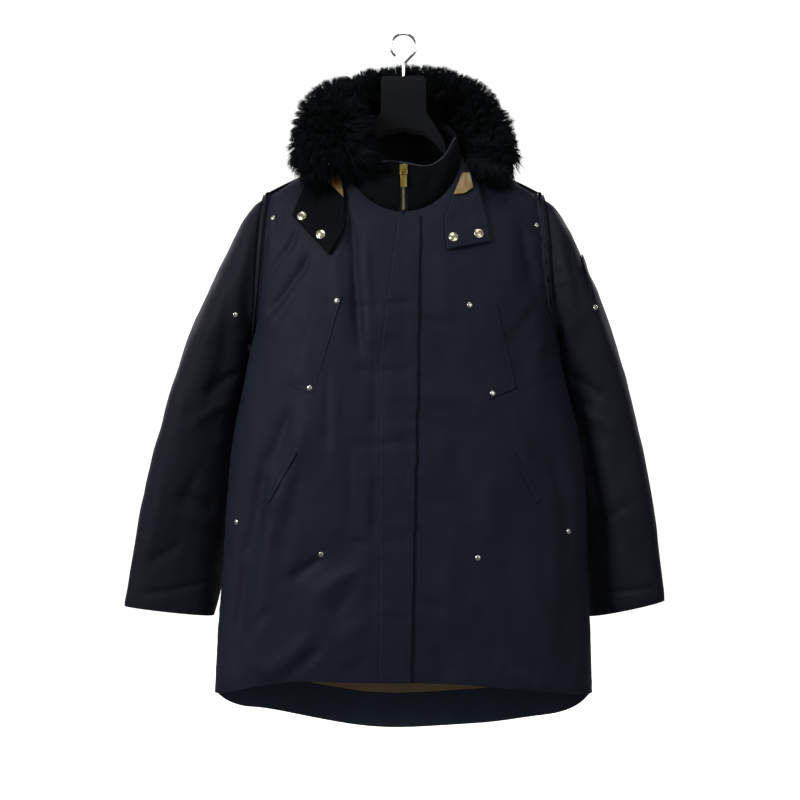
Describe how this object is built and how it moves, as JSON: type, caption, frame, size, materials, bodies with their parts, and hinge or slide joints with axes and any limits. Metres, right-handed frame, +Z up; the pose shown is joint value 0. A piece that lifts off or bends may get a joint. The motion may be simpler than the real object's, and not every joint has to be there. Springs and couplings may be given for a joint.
{
  "type": "fur trimmed parka on a hanger",
  "caption": "Hooded, down-padded parka with a fur ruff, zipped up and hung on a broad hanger whose hook goes over a rail.",
  "frame": {"origin": "inside the top of the hanger's hook, where a rail carries it", "axes": "+Z up from hem to hook, -Y the way the front faces, +X towards the wearer's left"},
  "size_m": [0.8197, 0.3207, 1.0557],
  "materials": {
    "shell": "matte navy down-proof cloth",
    "gold_lining": "gold satin",
    "fur": "black fur",
    "gold_metal": "polished gold metal",
    "steel": "satin",
    "zip_tape": "woven tape",
    "hanger_plastic": "satin black",
    "chrome": "polished"
  },
  "bodies": {
    "parka": {"front_right": "shell", "front_left": "shell", "back": "shell", "sleeve_right": "shell", "sleeve_left": "shell", "collar": "shell", "placket": "shell", "chest_flap_left": "shell", "chest_flap_right": "shell", "pocket_welt_left": "shell", "pocket_welt_right": "shell", "hood_tab_left": "shell", "hood_tab_right": "shell", "sleeve_welt_left": "shell", "back_facing": "shell", "hood_side_right": "shell", "hood_centre": "shell", "hood_side_left": "shell", "hood_lining_left": "gold_lining", "hood_lining_right": "gold_lining", "back_lining": "gold_lining", "hood_fur": "fur", "snap_1": "gold_metal", "snap_2": "gold_metal", "snap_3": "gold_metal", "snap_4": "gold_metal", "zip_chain": "gold_metal", "zip_slider": "gold_metal", "rivet_01": "steel", "rivet_02": "steel", "rivet_03": "steel", "rivet_04": "steel", "rivet_05": "steel", "rivet_06": "steel", "rivet_07": "steel", "rivet_08": "steel", "rivet_09": "steel", "rivet_10": "steel", "rivet_11": "steel", "rivet_12": "steel", "zip_tape": "zip_tape", "hanger_body": "hanger_plastic", "hanger_hook": "chrome"},
    "pull": {"zip_pull": "gold_metal"}
  },
  "joints": [
    {"name": "pull_hinge", "type": "hinge", "parent": "parka", "child": "pull", "pos_m": [0, -0.08321, -0.21091], "axis": [-1, 0, 0], "range_deg": [0, 150]}
  ]
}
